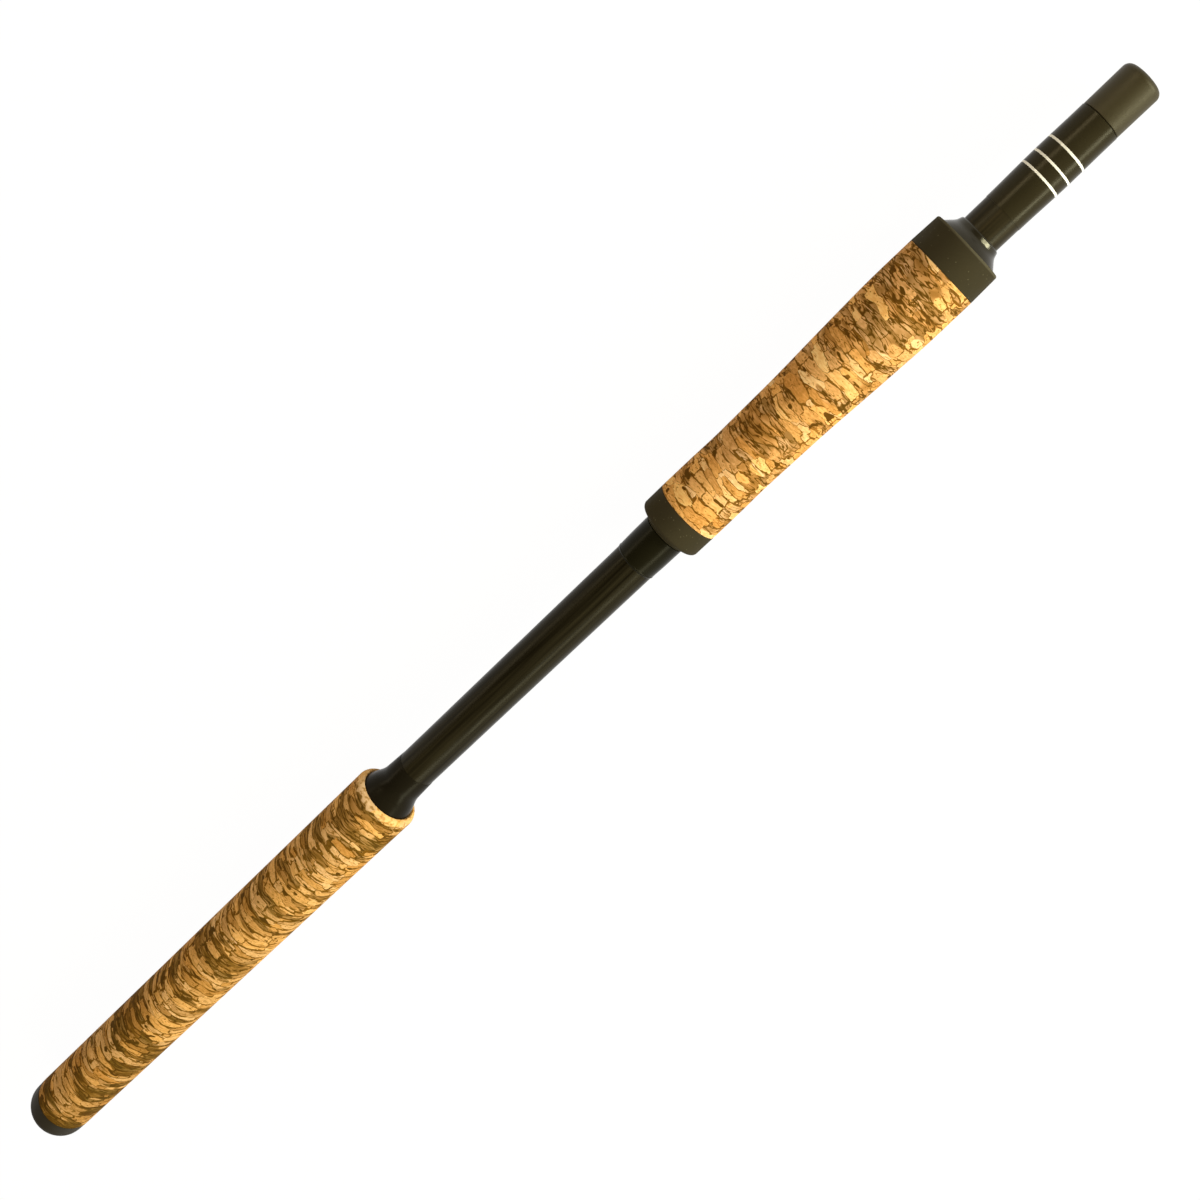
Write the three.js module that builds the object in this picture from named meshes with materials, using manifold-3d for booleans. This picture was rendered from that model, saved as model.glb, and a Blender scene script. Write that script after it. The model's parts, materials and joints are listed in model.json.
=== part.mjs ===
// A two-handed telescopic tenkara rod, closed for carrying with its tip plug in, lying on its side.
// Eight carbon sections nest in one another. The butt section carries the long cork grip. The fore
// section slides in it, for two fishing lengths, and carries the short cork grip. The six inner sections
// draw out through the mouth of the fore section once the plug is off, and each one wedges in the next
// by its taper. A screw cap in the butt lets them out backwards for drying.
// The axis runs along +X from butt to tip, and both grips rest on the plane z = 0.
// Lengths are in millimetres. An outline is a list of [distance from the piece's butt end, radius], and
// a radius is measured to the middle of a flat.
import * as THREE from "three";
import { mergeVertices } from "three/addons/utils/BufferGeometryUtils.js";
import Module from "manifold-3d";

const wasm = await Module();
wasm.setup();

// Fits
const GLUE_LINE = 0.08; // radial room for glue between bonded pieces
const END_GAP = 0.1; // gap between bonded pieces that meet end to end
const STOP_GAP = 0.3; // gap between pieces that only rest against each other
const WEDGE_FIT = 0.05; // radial room left round a section that is drawn out to its wedge
const RUNNING_FIT = 0.2; // room round pieces that screw or pull out
const SEAL_ROOM = 0.1; // room round a rubber ring in its seat

// Facets
const SIDES = 32; // flats round a turned piece, with one of them underneath
const TIP_SIDES = 16; // flats round the slender pieces at the rod's tip
const SEAL_SIDES = 8; // flats round the thickness of a rubber ring
const ROUND_STEPS = 4; // flats along a rounded edge

// Butt section
const GRIP_DIAMETER = 37.5; // of both grips at their fullest
const BUTT_TUBE_DIAMETER = 21.8;
const BUTT_TUBE_SHOWN = 210.2; // from the long grip to the mouth
const LOWER_GRIP_LENGTH = 323.7;
const GRIP_RIM_ROUND = 3.4; // rounded upper rim of the long grip
const GRIP_RIM_EASE = 0.6; // fall of that rim to the check inside it

const BUTT_RING_LENGTH = 14.1;
const BUTT_RING_ROUND = 6;
const BUTT_RING_DROP = 0.25; // the ring's end is this much slimmer, in radius, than the grip
const BUTT_RING_LIP = 2; // lip of the ring over the end of the insert

const FLARE_DIAMETER = 31;
const FLARE_LENGTH = 26.6;
const FLARE_RECESS = 3; // depth of the flare's foot in the grip's rim
const FLARE_FOOT = 2.5; // straight part of the foot
const FLARE_CONE = 9.4; // length of the cone above the foot
const FLARE_HOLLOW = 3; // length of the hollow that ends the cone
const FLARE_NECK_WALL = 0.75; // wall where the cone ends
const FLARE_END_WALL = 0.15; // wall at the fine end

const BAND_LENGTH = 20.5;
const BAND_START_WALL = 0.14;
const BAND_RISE = 8; // length over which the band thickens
const BAND_RISE_WALL = 0.38;
const BAND_END_WALL = 0.5;
const BAND_EDGE = 0.3; // bevel at the mouth

// Screw cap in the butt
const CAP_RECESS = 0.5; // the cap's face lies this much inside the ring's end
const CAP_FACE_DIAMETER = 23;
const CAP_FACE_THICKNESS = 3;
const CAP_EDGE = 0.5; // bevel round the face
const CAP_THREAD_DIAMETER = 20.2;
const CAP_THREAD_LENGTH = 11;
const CAP_THREAD_LEAD = 0.8; // bevel that leads the thread in
const COIN_SLOT_WIDTH = 2;
const COIN_SLOT_DEPTH = 1.4;
const CAP_SEAL_THICKNESS = 1.3; // of the rubber ring under the cap's face
const INSERT_WALL = 1.1; // of the insert round the cap's face
const INSERT_SLEEVE_LENGTH = 16; // of the sleeve bonded over the tube
const INSERT_SLEEVE_WALL = 1;
const BUMPER_DIAMETER = 18.6;
const BUMPER_THICKNESS = 4;

// Fore section
const FORE_TUBE_DIAMETER = 19.4;
const FORE_TUBE_SHOWN = 60.9; // from the upper check to the plug
const FORE_TUBE_WALL = 0.85; // at the mouth
const FORE_OVERLAP = 72; // length still inside the butt tube at full reach
const FORE_SWELL = 0.2; // how much wider, in radius, its foot is than its straight part

const LOWER_TRIM_LENGTH = 15.1;
const LOWER_TRIM_DIAMETER = 34.4;
const LOWER_TRIM_NECK_DIAMETER = 24;
const LOWER_TRIM_LIP = 0.4; // straight edge of the neck
const LOWER_TRIM_COVE = 1.6; // length of the hollow outside the neck
const LOWER_TRIM_ROUND = 2.2; // shoulder

const FORE_GRIP_LENGTH = 152.3;
const FORE_GRIP_STEPS = 16; // facets along the swell
// Places along the fore grip, as shares of its length, and its radius there, as shares of the fullest
const FORE_GRIP_PLACE_SHARES = [0, 0.12, 0.22, 0.35, 0.48, 0.62, 0.74, 0.85, 1];
const FORE_GRIP_RADIUS_SHARES = [0.917, 0.905, 0.887, 0.896, 0.91, 0.95, 0.98, 1, 0.99];

const UPPER_TRIM_LENGTH = 14.5;
const UPPER_TRIM_DROP = 0.55; // fall in radius from the grip to the trim's end
const UPPER_TRIM_ROUND = 0.9;
const UPPER_TRIM_DISH = 0.8; // how far the end face slopes in towards the check

const CHECK_DIAMETER = 31;
const CHECK_LENGTH = 6.5;
const CHECK_LIP = 0.7; // straight edge of the foot
const CHECK_HOLLOW = 0.5; // how far the cone is hollowed, in radius
const CHECK_END_WALL = 0.4;
const CHECK_BEAD = 0.8; // straight end round the tube

const WRAP_LENGTH = 49;
const WRAP_END_WALL = 0.1;
const WRAP_SWELL = 0.3; // extra wall at the fullest place
const WRAP_CREST_SHARE = 0.47; // where along its length the wrap is fullest
const WRAP_STEPS = 10; // facets along the swell
const STRIPE_WIDTH = 1;
const STRIPE_DEPTH = 0.2;
const STRIPE_ROOM = 0.05; // beside and under each stripe
const STRIPE_PLACES = [30.2, 23.95, 16.6]; // middle of each stripe, back from the mouth

// Tip plug
const PLUG_HEAD_DIAMETER = 19.4;
const PLUG_HEAD_LENGTH = 21.8;
const PLUG_ROUND = 2.8; // rounded end
const PLUG_EDGE = 0.3; // bevel beside the mouth
const PLUG_STEM_LENGTH = 24;
const PLUG_STEM_LEAD = 1; // bevel that leads the stem in
const PLUG_SEAL_THICKNESS = 1.4; // of each rubber ring on the stem
const PLUG_SEAL_PLACES = [6, 14]; // middle of each ring, from the stem's inner end

// Inner sections, from the thickest to the tip: the tube's wall, and the length that stays inside the
// next thicker section when this one is drawn out
const INNER_SECTIONS = [
  { name: "section_3", wall: 0.65, overlap: 66 },
  { name: "section_4", wall: 0.55, overlap: 60 },
  { name: "section_5", wall: 0.5, overlap: 54 },
  { name: "section_6", wall: 0.45, overlap: 48 },
  { name: "section_7", wall: 0.4, overlap: 44 },
];
const TIP_OVERLAP = 38;
const TIP_DIAMETER = 1.2;
const NEST_ROOM = 13.5; // free length between the first inner section and the plug's stem
const NEST_STEP = 4; // each section is this much shorter than the one round it
const FERRULE_LENGTH = 9;
const FERRULE_WALL = 0.35;
const FERRULE_END = 1.5; // solid end past the rod's tip

// Radii that follow from the sizes above
const gripRadius = GRIP_DIAMETER / 2;
const buttTubeRadius = BUTT_TUBE_DIAMETER / 2;
const foreTubeRadius = FORE_TUBE_DIAMETER / 2;
const overButtTube = buttTubeRadius + GLUE_LINE;
const overForeTube = foreTubeRadius + GLUE_LINE;
const foreMouthBore = foreTubeRadius - FORE_TUBE_WALL;
const threadBore = CAP_THREAD_DIAMETER / 2 + RUNNING_FIT;
const capSeatBore = CAP_FACE_DIAMETER / 2 + RUNNING_FIT;
const insertRadius = capSeatBore + INSERT_WALL;
const sleeveRadius = overButtTube + INSERT_SLEEVE_WALL;

// Places along the rod, from its butt end
const capEnd = CAP_RECESS + CAP_FACE_THICKNESS + CAP_THREAD_LENGTH;
const capSeat = CAP_RECESS + CAP_FACE_THICKNESS + CAP_SEAL_THICKNESS + 2 * SEAL_ROOM;
const bumperStart = capEnd + END_GAP;
const nestStart = bumperStart + BUMPER_THICKNESS + STOP_GAP; // where every sliding section's foot rests
const insertStart = BUTT_RING_LIP + END_GAP;
const buttTubeStart = capEnd + END_GAP;
const insertEnd = buttTubeStart + INSERT_SLEEVE_LENGTH;
const lowerGripStart = BUTT_RING_LENGTH + END_GAP;
const lowerGripEnd = BUTT_RING_LENGTH + LOWER_GRIP_LENGTH;
const flareStart = lowerGripEnd - FLARE_RECESS + END_GAP;
const buttTubeEnd = lowerGripEnd + BUTT_TUBE_SHOWN;
const lowerTrimStart = buttTubeEnd + STOP_GAP;
const foreGripStart = lowerTrimStart + LOWER_TRIM_LENGTH + END_GAP;
const upperTrimStart = foreGripStart + FORE_GRIP_LENGTH + END_GAP;
const checkStart = upperTrimStart + UPPER_TRIM_LENGTH + END_GAP;
const foreTubeEnd = checkStart + CHECK_LENGTH + FORE_TUBE_SHOWN;
const plugHeadStart = foreTubeEnd + STOP_GAP;
const plugStart = plugHeadStart - PLUG_STEM_LENGTH;
const rodEnd = plugHeadStart + PLUG_HEAD_LENGTH;

// Lengths of the inner sections, and the one taper that brings the last of them down to the tip's size
const sectionLengths = [...INNER_SECTIONS, null].map(
  (_, i) => plugStart - NEST_ROOM - nestStart - i * NEST_STEP,
);
const sum = (values) => values.reduce((total, value) => total + value, 0);
const overlaps = [...INNER_SECTIONS.map((section) => section.overlap), TIP_OVERLAP];
const wallsAndFits =
  sum(INNER_SECTIONS.map((section) => section.wall)) + sectionLengths.length * WEDGE_FIT;
const taper =
  (foreMouthBore - wallsAndFits - TIP_DIAMETER / 2) / (sum(sectionLengths) - sum(overlaps));
const foreBore = foreMouthBore + taper * overlaps[0];

// Points of a rounded edge about [x, radius], from one angle to another in degrees: 0 is towards the tip
// and 90 outwards
function arc(x, radius, size, from, to, steps = ROUND_STEPS) {
  const points = [];
  for (let i = 0; i <= steps; i++) {
    const angle = THREE.MathUtils.degToRad(from + ((to - from) * i) / steps);
    points.push([x + size * Math.cos(angle), radius + size * Math.sin(angle)]);
  }
  return points;
}

// Points of a hollow that runs from one place to another and bends towards a corner
function hollow(from, corner, to, steps = ROUND_STEPS) {
  const [start, middle, end] = [from, corner, to].map((point) => new THREE.Vector2(...point));
  const curve = new THREE.QuadraticBezierCurve(start, middle, end);
  return curve.getPoints(steps).map((point) => [point.x, point.y]);
}

// Solid turned about the X axis. An outline that keeps off the axis is closed on itself.
function turned(outline, sides = SIDES) {
  const toCorner = 1 / Math.cos(Math.PI / sides);
  const points = outline.map(([x, radius]) => new THREE.Vector2(radius * toCorner, x));
  if (outline[0][1] > 0) points.push(points[0].clone());
  const geometry = new THREE.LatheGeometry(points, sides, Math.PI / sides);
  geometry.rotateZ(-Math.PI / 2);
  return geometry;
}

// Rubber ring whose middle lies at x = 0
function sealRing(innerRadius, thickness) {
  const size = thickness / 2;
  const outline = arc(0, innerRadius + size, size, 180, -180, SEAL_SIDES);
  return turned(outline.slice(0, SEAL_SIDES));
}

// Three.js geometry to a closed solid that can be cut
function toSolid(geometry) {
  const plain = geometry.clone();
  plain.deleteAttribute("normal");
  plain.deleteAttribute("uv");
  const merged = mergeVertices(plain);
  const vertProperties = merged.attributes.position.array;
  const triVerts = new Uint32Array(merged.index.array);
  return new wasm.Manifold(new wasm.Mesh({ numProp: 3, vertProperties, triVerts }));
}

// Solid back to a three.js geometry
function toGeometry(solid) {
  const mesh = solid.getMesh();
  const geometry = new THREE.BufferGeometry();
  geometry.setAttribute("position", new THREE.BufferAttribute(mesh.vertProperties, 3));
  geometry.setIndex(new THREE.BufferAttribute(mesh.triVerts, 1));
  geometry.computeVertexNormals();
  return geometry;
}

// Finishes
function finish(color, roughness, metalness) {
  return new THREE.MeshStandardMaterial({ color, roughness, metalness });
}
const burlCork = finish(0xc98f45, 0.75, 0);
const foam = finish(0x35332a, 0.85, 0);
const rubber = finish(0x1f1e18, 0.65, 0);
const lacquer = finish(0x1b1912, 0.18, 0);
const satinPlug = finish(0x34322a, 0.4, 0);
const carbon = finish(0x1d1d1b, 0.3, 0);
const stripePaint = finish(0xf2ead8, 0.35, 0);
const anodised = finish(0x222222, 0.35, 0.9);
const brass = finish(0xb08d4a, 0.3, 1);

// Named piece with its butt end, or its middle, at x along the rod
function piece(name, geometry, material, x) {
  const mesh = new THREE.Mesh(geometry, material);
  mesh.name = name;
  mesh.position.x = x;
  return mesh;
}

// Soft ring that guards the butt, with a lip over the end of the threaded insert
function buttRing() {
  const endRadius = gripRadius - BUTT_RING_DROP;
  const bore = insertRadius + GLUE_LINE;
  return turned([
    [0, capSeatBore],
    ...arc(BUTT_RING_ROUND, endRadius - BUTT_RING_ROUND, BUTT_RING_ROUND, 180, 90),
    [BUTT_RING_LENGTH, gripRadius],
    [BUTT_RING_LENGTH, bore],
    [BUTT_RING_LIP, bore],
    [BUTT_RING_LIP, capSeatBore],
  ]);
}

// Insert that holds the cap's thread at one end and is bonded over the tube at the other
function threadedInsert() {
  const seat = capSeat - insertStart;
  const tubeStop = capEnd - insertStart;
  const sleeveEnd = insertEnd - insertStart;
  return turned([
    [0, capSeatBore],
    [0, insertRadius],
    [tubeStop, insertRadius],
    [tubeStop, sleeveRadius],
    [sleeveEnd, sleeveRadius],
    [sleeveEnd, overButtTube],
    [tubeStop, overButtTube],
    [tubeStop, threadBore],
    [seat, threadBore],
    [seat, capSeatBore],
  ]);
}

// Screw cap with a slot for a coin
function screwCap() {
  const faceRadius = CAP_FACE_DIAMETER / 2;
  const threadRadius = CAP_THREAD_DIAMETER / 2;
  const length = CAP_FACE_THICKNESS + CAP_THREAD_LENGTH;
  const body = turned([
    [0, 0],
    [0, faceRadius - CAP_EDGE],
    [CAP_EDGE, faceRadius],
    [CAP_FACE_THICKNESS, faceRadius],
    [CAP_FACE_THICKNESS, threadRadius],
    [length - CAP_THREAD_LEAD, threadRadius],
    [length, threadRadius - CAP_THREAD_LEAD],
    [length, 0],
  ]);
  const slot = new THREE.BoxGeometry(2 * COIN_SLOT_DEPTH, 2 * CAP_FACE_DIAMETER, COIN_SLOT_WIDTH);
  return toGeometry(toSolid(body).subtract(toSolid(slot)));
}

// Soft disc on the cap's inner end, on which the sections' feet rest
function bumper() {
  return turned([
    [0, 0],
    [0, BUMPER_DIAMETER / 2],
    [BUMPER_THICKNESS, BUMPER_DIAMETER / 2],
    [BUMPER_THICKNESS, 0],
  ]);
}

// Straight outside. Inside it narrows over its last stretch, where the foot of the fore tube wedges.
function buttTube() {
  const length = buttTubeEnd - buttTubeStart;
  const mouthBore = foreTubeRadius + WEDGE_FIT;
  return turned([
    [0, mouthBore + FORE_SWELL],
    [0, buttTubeRadius],
    [length, buttTubeRadius],
    [length, mouthBore],
    [length - FORE_OVERLAP, mouthBore + FORE_SWELL],
  ]);
}

// Straight cork with a rounded upper rim, bored for the insert, the tube and the flared check
function lowerGrip() {
  const length = lowerGripEnd - lowerGripStart;
  const insertStop = buttTubeStart - lowerGripStart;
  const sleeveStop = insertEnd + END_GAP - lowerGripStart;
  const recessRadius = FLARE_DIAMETER / 2 + GLUE_LINE;
  return turned([
    [0, insertRadius + GLUE_LINE],
    [0, gripRadius],
    ...arc(length - GRIP_RIM_ROUND, gripRadius - GRIP_RIM_ROUND, GRIP_RIM_ROUND, 90, 15),
    [length - GRIP_RIM_EASE, recessRadius],
    [length - FLARE_RECESS, recessRadius],
    [length - FLARE_RECESS, overButtTube],
    [sleeveStop, overButtTube],
    [sleeveStop, sleeveRadius + GLUE_LINE],
    [insertStop, sleeveRadius + GLUE_LINE],
    [insertStop, insertRadius + GLUE_LINE],
  ]);
}

// Glossy check: a cone that rises out of the cork's rim and runs out in a long fine taper on the tube
function flaredCheck() {
  const neckRadius = overButtTube + FLARE_NECK_WALL;
  const neck = FLARE_FOOT + FLARE_CONE;
  const drop = FLARE_DIAMETER / 2 - neckRadius;
  const coneEnd = neck - FLARE_HOLLOW;
  const coneEndRadius = neckRadius + (drop * FLARE_HOLLOW) / FLARE_CONE;
  const hollowEnd = neck + FLARE_HOLLOW;
  const endShare = FLARE_HOLLOW / (FLARE_LENGTH - neck);
  const hollowEndWall = THREE.MathUtils.lerp(FLARE_NECK_WALL, FLARE_END_WALL, endShare);
  return turned([
    [0, overButtTube],
    [0, FLARE_DIAMETER / 2],
    [FLARE_FOOT, FLARE_DIAMETER / 2],
    ...hollow([coneEnd, coneEndRadius], [neck, neckRadius], [hollowEnd, overButtTube + hollowEndWall]),
    [FLARE_LENGTH, overButtTube + FLARE_END_WALL],
    [FLARE_LENGTH, overButtTube],
  ]);
}

// Lacquered winding that stiffens the mouth of the butt tube
function mouthBand() {
  const endRadius = overButtTube + BAND_END_WALL;
  return turned([
    [0, overButtTube],
    [0, overButtTube + BAND_START_WALL],
    [BAND_RISE, overButtTube + BAND_RISE_WALL],
    [BAND_LENGTH - BAND_EDGE, endRadius],
    [BAND_LENGTH, endRadius - BAND_EDGE],
    [BAND_LENGTH, overButtTube],
  ]);
}

// Straight for most of its length, with a foot that swells to wedge in the butt tube's mouth
function foreTube() {
  const length = foreTubeEnd - nestStart;
  return turned([
    [0, foreBore],
    [0, foreTubeRadius + FORE_SWELL],
    [FORE_OVERLAP, foreTubeRadius],
    [length, foreTubeRadius],
    [length, foreMouthBore],
    [length - overlaps[0], foreBore],
  ]);
}

// Foam end of the fore grip, with a neck beside the butt tube's mouth and a rounded shoulder
function lowerTrim() {
  const radius = LOWER_TRIM_DIAMETER / 2;
  const neckRadius = LOWER_TRIM_NECK_DIAMETER / 2;
  const shoulderFoot = radius - LOWER_TRIM_ROUND;
  const coveEnd = LOWER_TRIM_LIP + LOWER_TRIM_COVE;
  return turned([
    [0, overForeTube],
    [0, neckRadius],
    ...hollow([LOWER_TRIM_LIP, neckRadius], [coveEnd, neckRadius], [coveEnd, shoulderFoot]),
    ...arc(coveEnd + LOWER_TRIM_ROUND, shoulderFoot, LOWER_TRIM_ROUND, 180, 90).slice(1),
    [LOWER_TRIM_LENGTH, radius],
    [LOWER_TRIM_LENGTH, overForeTube],
  ]);
}

// Short cork grip, waisted below and swelling to the hand above
function foreGrip() {
  const swell = new THREE.SplineCurve(
    FORE_GRIP_PLACE_SHARES.map(
      (share, i) =>
        new THREE.Vector2(share * FORE_GRIP_LENGTH, FORE_GRIP_RADIUS_SHARES[i] * gripRadius),
    ),
  );
  return turned([
    [0, overForeTube],
    ...swell.getPoints(FORE_GRIP_STEPS).map((point) => [point.x, point.y]),
    [FORE_GRIP_LENGTH, overForeTube],
  ]);
}

// Foam end of the fore grip towards the tip, with a crisp edge
function upperTrim() {
  const startRadius = FORE_GRIP_RADIUS_SHARES.at(-1) * gripRadius;
  const endRadius = startRadius - UPPER_TRIM_DROP;
  const roundFoot = endRadius - UPPER_TRIM_ROUND;
  return turned([
    [0, overForeTube],
    [0, startRadius],
    ...arc(UPPER_TRIM_LENGTH - UPPER_TRIM_ROUND, roundFoot, UPPER_TRIM_ROUND, 90, 0),
    [UPPER_TRIM_LENGTH - UPPER_TRIM_DISH, CHECK_DIAMETER / 2],
    [UPPER_TRIM_LENGTH - UPPER_TRIM_DISH, overForeTube],
  ]);
}

// Glossy cone that closes the fore grip on the tube
function upperCheck() {
  const radius = CHECK_DIAMETER / 2;
  const endRadius = overForeTube + CHECK_END_WALL;
  const length = CHECK_LENGTH + UPPER_TRIM_DISH;
  const coneEnd = length - CHECK_BEAD;
  const corner = [(CHECK_LIP + coneEnd) / 2, (radius + endRadius) / 2 - 2 * CHECK_HOLLOW];
  return turned([
    [0, overForeTube],
    [0, radius],
    ...hollow([CHECK_LIP, radius], corner, [coneEnd, endRadius]),
    [length, endRadius],
    [length, overForeTube],
  ]);
}

// Radius of the lacquered wrap at x along it
function wrapRadius(x) {
  const share = x / WRAP_LENGTH;
  const half = share < WRAP_CREST_SHARE ? WRAP_CREST_SHARE : 1 - WRAP_CREST_SHARE;
  const rise = Math.cos((Math.PI / 2) * ((share - WRAP_CREST_SHARE) / half));
  return overForeTube + WRAP_END_WALL + WRAP_SWELL * rise * rise;
}

// Lacquered wrap that stiffens the mouth of the fore tube, grooved for the painted stripes
function mouthWrap() {
  const grooveHalf = STRIPE_WIDTH / 2 + STRIPE_ROOM;
  const grooves = STRIPE_PLACES.map((place) => WRAP_LENGTH - place);
  const crest = [];
  for (let i = 0; i <= WRAP_STEPS; i++) {
    const x = (i / WRAP_STEPS) * WRAP_LENGTH;
    if (grooves.every((middle) => Math.abs(x - middle) > STRIPE_WIDTH)) crest.push([x, wrapRadius(x)]);
  }
  const walls = grooves.flatMap((middle) => {
    const [start, end] = [middle - grooveHalf, middle + grooveHalf];
    const floor = wrapRadius(middle) - STRIPE_DEPTH;
    return [
      [start, wrapRadius(start)],
      [start, floor],
      [end, floor],
      [end, wrapRadius(end)],
    ];
  });
  const outside = [...crest, ...walls].sort((a, b) => a[0] - b[0]);
  return turned([[0, overForeTube], ...outside, [WRAP_LENGTH, overForeTube]]);
}

// Painted stripe that lies in a groove of the wrap, flush with it, its middle at x = 0
function stripe(middle) {
  const half = STRIPE_WIDTH / 2;
  const inner = wrapRadius(middle) - STRIPE_DEPTH + STRIPE_ROOM;
  return turned([
    [-half, inner],
    [-half, wrapRadius(middle - half)],
    [half, wrapRadius(middle + half)],
    [half, inner],
  ]);
}

// Inner radius of a rubber ring that just clears the fore tube's mouth
const plugSealInner = foreMouthBore - WEDGE_FIT - PLUG_SEAL_THICKNESS;

// Plug with a smooth head and a stem grooved for its rubber rings
function tipPlug() {
  const stemRadius = foreMouthBore - RUNNING_FIT;
  const headRadius = PLUG_HEAD_DIAMETER / 2;
  const length = PLUG_STEM_LENGTH + PLUG_HEAD_LENGTH;
  const grooveHalf = PLUG_SEAL_THICKNESS / 2 + SEAL_ROOM;
  const grooveFloor = plugSealInner - SEAL_ROOM;
  const grooves = PLUG_SEAL_PLACES.flatMap((place) => [
    [place - grooveHalf, stemRadius],
    [place - grooveHalf, grooveFloor],
    [place + grooveHalf, grooveFloor],
    [place + grooveHalf, stemRadius],
  ]);
  return turned([
    [0, 0],
    [0, stemRadius - PLUG_STEM_LEAD],
    [PLUG_STEM_LEAD, stemRadius],
    ...grooves,
    [PLUG_STEM_LENGTH, stemRadius],
    [PLUG_STEM_LENGTH, headRadius - PLUG_EDGE],
    [PLUG_STEM_LENGTH + PLUG_EDGE, headRadius],
    ...arc(length - PLUG_ROUND, headRadius - PLUG_ROUND, PLUG_ROUND, 90, 0),
    [length, 0],
  ]);
}

// Hollow blank that tapers evenly from its foot, with the same wall all along
function blank(length, footRadius, wall) {
  const mouthRadius = footRadius - taper * length;
  return turned([
    [0, footRadius - wall],
    [0, footRadius],
    [length, mouthRadius],
    [length, mouthRadius - wall],
  ]);
}

// Solid last section
function tipBlank(length, footRadius) {
  return turned(
    [
      [0, 0],
      [0, footRadius],
      [length, TIP_DIAMETER / 2],
      [length, 0],
    ],
    TIP_SIDES,
  );
}

// Metal end on the rod's tip, which holds the braid that the line is tied to
function tipFerrule() {
  const bore = TIP_DIAMETER / 2 + taper * FERRULE_LENGTH + GLUE_LINE;
  const bottom = FERRULE_LENGTH + END_GAP;
  return turned(
    [
      [bottom, 0],
      [bottom, bore],
      [0, bore],
      [0, bore + FERRULE_WALL],
      [bottom + FERRULE_END, bore + FERRULE_WALL],
      [bottom + FERRULE_END, 0],
    ],
    TIP_SIDES,
  );
}

const buttSection = new THREE.Group();
buttSection.add(
  piece("butt_trim_ring", buttRing(), rubber, 0),
  piece("butt_thread_insert", threadedInsert(), anodised, insertStart),
  piece("butt_tube", buttTube(), lacquer, buttTubeStart),
  piece("lower_grip", lowerGrip(), burlCork, lowerGripStart),
  piece("lower_winding_check", flaredCheck(), lacquer, flareStart),
  piece("butt_mouth_band", mouthBand(), lacquer, buttTubeEnd - BAND_LENGTH),
);

const capSealPlace = capSeat - SEAL_ROOM - CAP_SEAL_THICKNESS / 2;
const capSealInner = CAP_THREAD_DIAMETER / 2 + SEAL_ROOM;
const capSection = new THREE.Group();
capSection.add(
  piece("butt_cap", screwCap(), anodised, CAP_RECESS),
  piece("butt_cap_o_ring", sealRing(capSealInner, CAP_SEAL_THICKNESS), rubber, capSealPlace),
  piece("butt_bumper", bumper(), rubber, bumperStart),
);

const foreSection = new THREE.Group();
const wrapStart = foreTubeEnd - WRAP_LENGTH;
foreSection.add(
  piece("fore_tube", foreTube(), lacquer, nestStart),
  piece("fore_grip_lower_trim", lowerTrim(), foam, lowerTrimStart),
  piece("fore_grip", foreGrip(), burlCork, foreGripStart),
  piece("fore_grip_upper_trim", upperTrim(), foam, upperTrimStart),
  piece("upper_winding_check", upperCheck(), lacquer, checkStart - UPPER_TRIM_DISH),
  piece("mouth_wrap", mouthWrap(), lacquer, wrapStart),
);
STRIPE_PLACES.forEach((place, i) => {
  const middle = WRAP_LENGTH - place;
  foreSection.add(piece(`white_ring_${i + 1}`, stripe(middle), stripePaint, wrapStart + middle));
});

// Each foot is as wide as the mouth it wedges in allows, a little way inside that mouth
const innerSections = new THREE.Group();
let mouthBore = foreMouthBore;
INNER_SECTIONS.forEach(({ name, wall, overlap }, i) => {
  const footRadius = mouthBore + taper * overlap - WEDGE_FIT;
  innerSections.add(piece(name, blank(sectionLengths[i], footRadius, wall), carbon, nestStart));
  mouthBore = footRadius - taper * sectionLengths[i] - wall;
});
const tipLength = sectionLengths.at(-1);
const tipFootRadius = mouthBore + taper * TIP_OVERLAP - WEDGE_FIT;
innerSections.add(
  piece("tip_section", tipBlank(tipLength, tipFootRadius), carbon, nestStart),
  piece("tip_ferrule", tipFerrule(), brass, nestStart + tipLength - FERRULE_LENGTH),
);

const plugSection = new THREE.Group();
plugSection.add(piece("tip_plug", tipPlug(), satinPlug, plugStart));
PLUG_SEAL_PLACES.forEach((place, i) => {
  const ring = sealRing(plugSealInner, PLUG_SEAL_THICKNESS);
  plugSection.add(piece(`plug_o_ring_${i + 1}`, ring, rubber, plugStart + place));
});

const rod = new THREE.Group();
rod.add(buttSection, capSection, foreSection, innerSections, plugSection);
rod.position.set(-rodEnd / 2, 0, gripRadius);
const tenkaraRod = new THREE.Group();
tenkaraRod.add(rod);
export default tenkaraRod;
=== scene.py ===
import json
import math

import bmesh
import bpy
from mathutils import Matrix, Quaternion, Vector

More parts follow.
